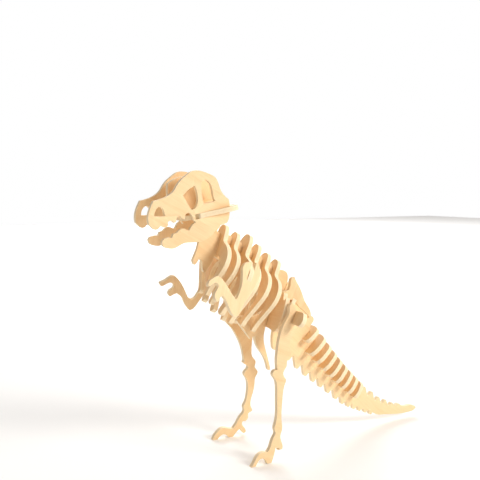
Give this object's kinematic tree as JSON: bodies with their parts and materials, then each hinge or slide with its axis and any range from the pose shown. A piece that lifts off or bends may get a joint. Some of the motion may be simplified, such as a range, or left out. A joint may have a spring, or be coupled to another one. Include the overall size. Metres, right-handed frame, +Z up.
{
  "type": "wooden 3d jigsaw model",
  "caption": "Slot-together plywood dinosaur skeleton: side plates for head, back, limbs and tail joined by cross plates for ribs, hips and tail bones.",
  "frame": {"origin": "on the ground under the middle of the bounding box", "axes": "+X from snout to tail tip, +Y to the animal's right, +Z up"},
  "size_m": [0.2144, 0.0636, 0.18],
  "materials": {
    "plywood": "raw sanded face veneer, satin"
  },
  "bodies": {
    "skeleton": {"spine_plate": "plywood", "tail_plate": "plywood", "ilium_left": "plywood", "ilium_right": "plywood", "hip_bar_front": "plywood", "hip_bar_rear": "plywood"},
    "palate": {"palate": "plywood"},
    "head_side_left": {"head_side_left": "plywood"},
    "head_side_right": {"head_side_right": "plywood"},
    "skull_crest": {"skull_crest": "plywood"},
    "rib_1": {"rib_1": "plywood"},
    "rib_2": {"rib_2": "plywood"},
    "rib_3": {"rib_3": "plywood"},
    "rib_4": {"rib_4": "plywood"},
    "rib_5": {"rib_5": "plywood"},
    "rib_6": {"rib_6": "plywood"},
    "arm_left": {"arm_left": "plywood"},
    "arm_right": {"arm_right": "plywood"},
    "leg_left": {"leg_left": "plywood"},
    "leg_right": {"leg_right": "plywood"},
    "tail_vertebra_1": {"tail_vertebra_1": "plywood"},
    "tail_vertebra_2": {"tail_vertebra_2": "plywood"},
    "tail_vertebra_3": {"tail_vertebra_3": "plywood"},
    "tail_vertebra_4": {"tail_vertebra_4": "plywood"},
    "tail_vertebra_5": {"tail_vertebra_5": "plywood"},
    "tail_vertebra_6": {"tail_vertebra_6": "plywood"},
    "tail_vertebra_7": {"tail_vertebra_7": "plywood"},
    "tail_vertebra_8": {"tail_vertebra_8": "plywood"},
    "tail_vertebra_9": {"tail_vertebra_9": "plywood"}
  },
  "joints": [
    {"name": "rib_1_pull", "type": "slide", "parent": "skeleton", "child": "rib_1", "axis": [0.342, 0, 0.9397], "range_m": [0, 0.045]},
    {"name": "rib_2_pull", "type": "slide", "parent": "skeleton", "child": "rib_2", "axis": [0.4384, 0, 0.8988], "range_m": [0, 0.045]},
    {"name": "rib_3_pull", "type": "slide", "parent": "skeleton", "child": "rib_3", "axis": [0.4384, 0, 0.8988], "range_m": [0, 0.045]},
    {"name": "rib_4_pull", "type": "slide", "parent": "skeleton", "child": "rib_4", "axis": [0.4384, 0, 0.8988], "range_m": [0, 0.045]},
    {"name": "rib_5_pull", "type": "slide", "parent": "skeleton", "child": "rib_5", "axis": [0.4384, 0, 0.8988], "range_m": [0, 0.045]},
    {"name": "rib_6_pull", "type": "slide", "parent": "skeleton", "child": "rib_6", "axis": [0.4384, 0, 0.8988], "range_m": [0, 0.045]},
    {"name": "arm_left_pull", "type": "slide", "parent": "rib_3", "child": "arm_left", "axis": [-0.4303, -0.1908, -0.8823], "range_m": [0, 0.024]},
    {"name": "leg_left_pull", "type": "slide", "parent": "skeleton", "child": "leg_left", "axis": [-0.4991, -0.061, -0.8644], "range_m": [0, 0.02]},
    {"name": "arm_right_pull", "type": "slide", "parent": "rib_3", "child": "arm_right", "axis": [-0.4303, 0.1908, -0.8823], "range_m": [0, 0.024]},
    {"name": "leg_right_pull", "type": "slide", "parent": "skeleton", "child": "leg_right", "axis": [-0.4991, 0.061, -0.8644], "range_m": [0, 0.02]},
    {"name": "head_pull", "type": "slide", "parent": "skeleton", "child": "palate", "axis": [-0.9781, 0, -0.2079], "range_m": [0, 0.016]},
    {"name": "head_side_left_pull", "type": "slide", "parent": "palate", "child": "head_side_left", "axis": [-0.9781, 0, -0.2079], "range_m": [0, 0.03]},
    {"name": "head_side_right_pull", "type": "slide", "parent": "palate", "child": "head_side_right", "axis": [-0.9781, 0, -0.2079], "range_m": [0, 0.03]},
    {"name": "skull_crest_pull", "type": "slide", "parent": "palate", "child": "skull_crest", "axis": [-0.9781, 0, -0.2079], "range_m": [0, 0.03]},
    {"name": "tail_vertebra_1_pull", "type": "slide", "parent": "skeleton", "child": "tail_vertebra_1", "axis": [0.7771, 0, 0.6293], "range_m": [0, 0.012]},
    {"name": "tail_vertebra_2_pull", "type": "slide", "parent": "skeleton", "child": "tail_vertebra_2", "axis": [0.7536, 0, 0.6574], "range_m": [0, 0.012]},
    {"name": "tail_vertebra_3_pull", "type": "slide", "parent": "skeleton", "child": "tail_vertebra_3", "axis": [0.729, 0, 0.6845], "range_m": [0, 0.012]},
    {"name": "tail_vertebra_4_pull", "type": "slide", "parent": "skeleton", "child": "tail_vertebra_4", "axis": [0.7034, 0, 0.7108], "range_m": [0, 0.012]},
    {"name": "tail_vertebra_5_pull", "type": "slide", "parent": "skeleton", "child": "tail_vertebra_5", "axis": [0.6769, 0, 0.7361], "range_m": [0, 0.012]},
    {"name": "tail_vertebra_6_pull", "type": "slide", "parent": "skeleton", "child": "tail_vertebra_6", "axis": [0.6494, 0, 0.7604], "range_m": [0, 0.012]},
    {"name": "tail_vertebra_7_pull", "type": "slide", "parent": "skeleton", "child": "tail_vertebra_7", "axis": [0.6211, 0, 0.7837], "range_m": [0, 0.012]},
    {"name": "tail_vertebra_8_pull", "type": "slide", "parent": "skeleton", "child": "tail_vertebra_8", "axis": [0.592, 0, 0.8059], "range_m": [0, 0.012]},
    {"name": "tail_vertebra_9_pull", "type": "slide", "parent": "skeleton", "child": "tail_vertebra_9", "axis": [0.5621, 0, 0.8271], "range_m": [0, 0.012]}
  ]
}
